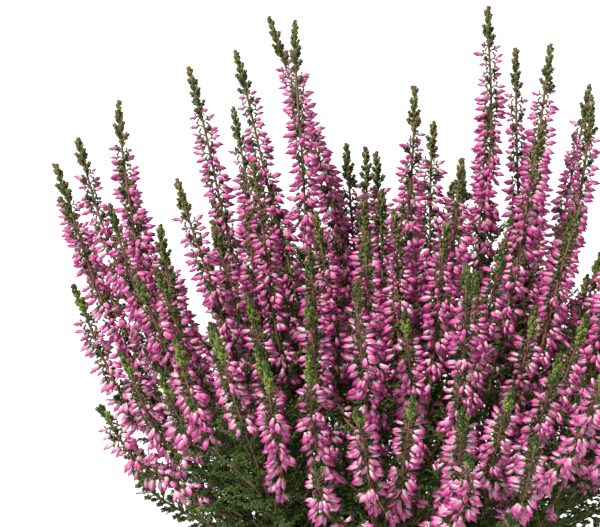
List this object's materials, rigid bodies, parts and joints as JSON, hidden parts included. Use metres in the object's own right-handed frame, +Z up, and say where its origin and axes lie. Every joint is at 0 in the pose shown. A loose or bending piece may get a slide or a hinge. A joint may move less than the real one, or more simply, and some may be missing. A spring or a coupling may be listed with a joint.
{
  "type": "potted heather",
  "caption": "Bushy potted heather with upright spikes of pink flower buds, green leafy tips and leafy shoots, in a tapered plastic nursery pot filled with peat.",
  "frame": {"origin": "centre of the pot's flat foot, on the surface it stands on", "axes": "+Z up along the pot's axis, +Y away from the front of the plant, +X to the right"},
  "size_m": [0.2491, 0.241, 0.298],
  "materials": {
    "pot_plastic": "matt terracotta-coloured moulded plastic",
    "peat": "dark crumbly moist peat",
    "heather_flowers": "satin pink buds on thin brown stems with green leafy tips",
    "heather_leaves": "matt dark green scale-like leaves"
  },
  "bodies": {
    "root": {"flower_spray_01": "heather_flowers", "flower_spray_02": "heather_flowers", "flower_spray_03": "heather_flowers", "flower_spray_04": "heather_flowers", "flower_spray_05": "heather_flowers", "flower_spray_06": "heather_flowers", "flower_spray_07": "heather_flowers", "flower_spray_08": "heather_flowers", "flower_spray_09": "heather_flowers", "flower_spray_10": "heather_flowers", "flower_spray_11": "heather_flowers", "flower_spray_12": "heather_flowers", "flower_spray_13": "heather_flowers", "flower_spray_14": "heather_flowers", "flower_spray_15": "heather_flowers", "flower_spray_16": "heather_flowers", "flower_spray_17": "heather_flowers", "flower_spray_18": "heather_flowers", "flower_spray_19": "heather_flowers", "flower_spray_20": "heather_flowers", "flower_spray_21": "heather_flowers", "flower_spray_22": "heather_flowers", "flower_spray_23": "heather_flowers", "flower_spray_24": "heather_flowers", "flower_spray_25": "heather_flowers", "flower_spray_26": "heather_flowers", "flower_spray_27": "heather_flowers", "flower_spray_28": "heather_flowers", "flower_spray_29": "heather_flowers", "flower_spray_30": "heather_flowers", "flower_spray_31": "heather_flowers", "flower_spray_32": "heather_flowers", "flower_spray_33": "heather_flowers", "flower_spray_34": "heather_flowers", "flower_spray_35": "heather_flowers", "flower_spray_36": "heather_flowers", "flower_spray_37": "heather_flowers", "flower_spray_38": "heather_flowers", "flower_spray_39": "heather_flowers", "leafy_shoot_1": "heather_leaves", "leafy_shoot_10": "heather_leaves", "leafy_shoot_11": "heather_leaves", "leafy_shoot_12": "heather_leaves", "leafy_shoot_13": "heather_leaves", "leafy_shoot_14": "heather_leaves", "leafy_shoot_2": "heather_leaves", "leafy_shoot_3": "heather_leaves", "leafy_shoot_4": "heather_leaves", "leafy_shoot_5": "heather_leaves", "leafy_shoot_6": "heather_leaves", "leafy_shoot_7": "heather_leaves", "leafy_shoot_8": "heather_leaves", "leafy_shoot_9": "heather_leaves", "peat": "peat", "pot": "pot_plastic"}
  },
  "joints": []
}
